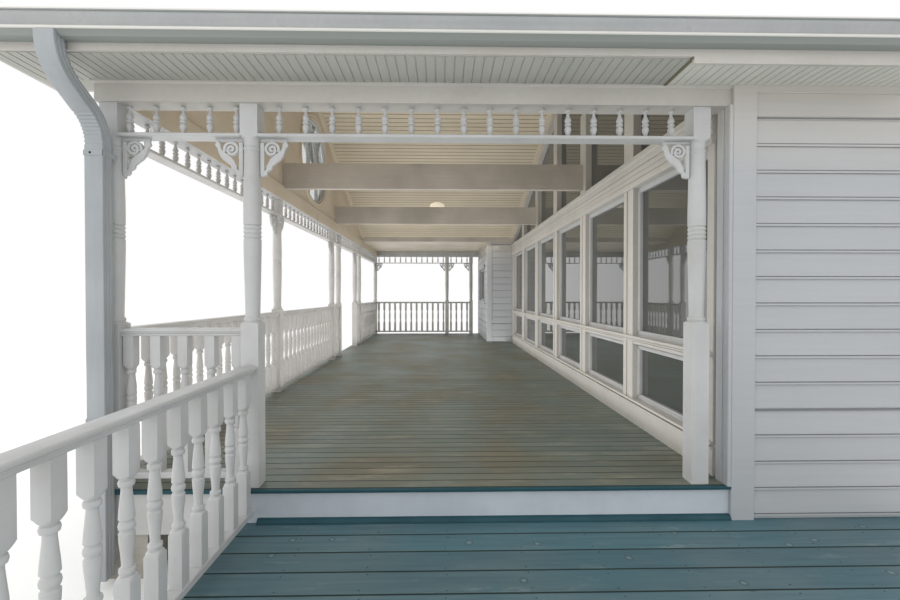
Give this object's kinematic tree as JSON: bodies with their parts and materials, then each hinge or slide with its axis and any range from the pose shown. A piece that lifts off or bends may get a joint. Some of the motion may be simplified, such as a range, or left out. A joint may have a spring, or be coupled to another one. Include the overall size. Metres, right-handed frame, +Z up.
{
  "type": "front porch",
  "caption": "Raised timber porch under a gable roof, with turned posts, spindle frieze, scroll brackets, railings, a lower side deck and a wall of windows.",
  "frame": {"origin": "on the ground under the centre of the corner post, on the foot of its pier", "axes": "+X towards the house, +Y along the porch away from the lower deck, +Z up"},
  "size_m": [5.15, 13.653, 4.6904],
  "materials": {
    "white_paint": "semi-gloss white paint on wood, a little weathered",
    "porch_boards": "worn grey-green porch paint on narrow boards",
    "deck_stain": "blue-green solid stain on deck boards",
    "framing": "treated softwood, unpainted",
    "ceiling_boards": "cream white paint on beaded ceiling boards",
    "shingles": "blue-grey mineral surfaced shingles",
    "vinyl_soffit": "satin ribbed vinyl",
    "vinyl_siding": "satin white lap siding",
    "vinyl_sash": "satin white window frame",
    "white_metal": "white baked enamel on aluminium sheet",
    "window_glass": "clear sealed glass",
    "lamp_glass": "frosted white lamp glass",
    "concrete": "bare cast concrete"
  },
  "bodies": {
    "root": {"corner_post": "white_paint", "front_post": "white_paint", "wall_post": "white_paint", "side_posts": "white_paint", "far_posts": "white_paint", "piers": "concrete", "upper_deck_frame": "framing", "upper_deck_floor": "porch_boards", "deck_skirt": "white_paint", "step_riser": "white_paint", "riser_moulding": "deck_stain", "lower_deck_floor": "deck_stain", "lower_deck_frame": "framing", "near_header": "white_paint", "side_header": "white_paint", "far_header": "white_paint", "near_frieze": "white_paint", "side_frieze": "white_paint", "far_frieze": "white_paint", "near_brackets": "white_paint", "side_brackets": "white_paint", "far_brackets": "white_paint", "near_railing": "white_paint", "side_railing": "white_paint", "far_railing": "white_paint", "lower_railing": "white_paint", "lower_newel": "white_paint", "tie_beams": "white_paint", "gable_wall": "white_paint", "oval_window": "white_paint", "oval_glass": "window_glass", "near_ceiling": "ceiling_boards", "far_ceiling": "ceiling_boards", "flat_ceiling": "ceiling_boards", "near_roof": "shingles", "far_roof": "shingles", "low_roof": "shingles", "soffit": "vinyl_soffit", "fascia": "white_paint", "rake_boards": "white_paint", "gutter": "white_metal", "downspout": "white_metal", "window_wall": "white_paint", "window_sashes": "vinyl_sash", "window_glass": "window_glass", "clerestory_glass": "window_glass", "window_ledge": "white_paint", "near_siding_wall": "vinyl_siding", "corner_board": "white_paint", "wing_wall": "vinyl_siding", "far_house_wall": "vinyl_siding", "party_wall": "vinyl_siding", "room_floor": "framing", "ceiling_light": "lamp_glass"}
  },
  "joints": []
}
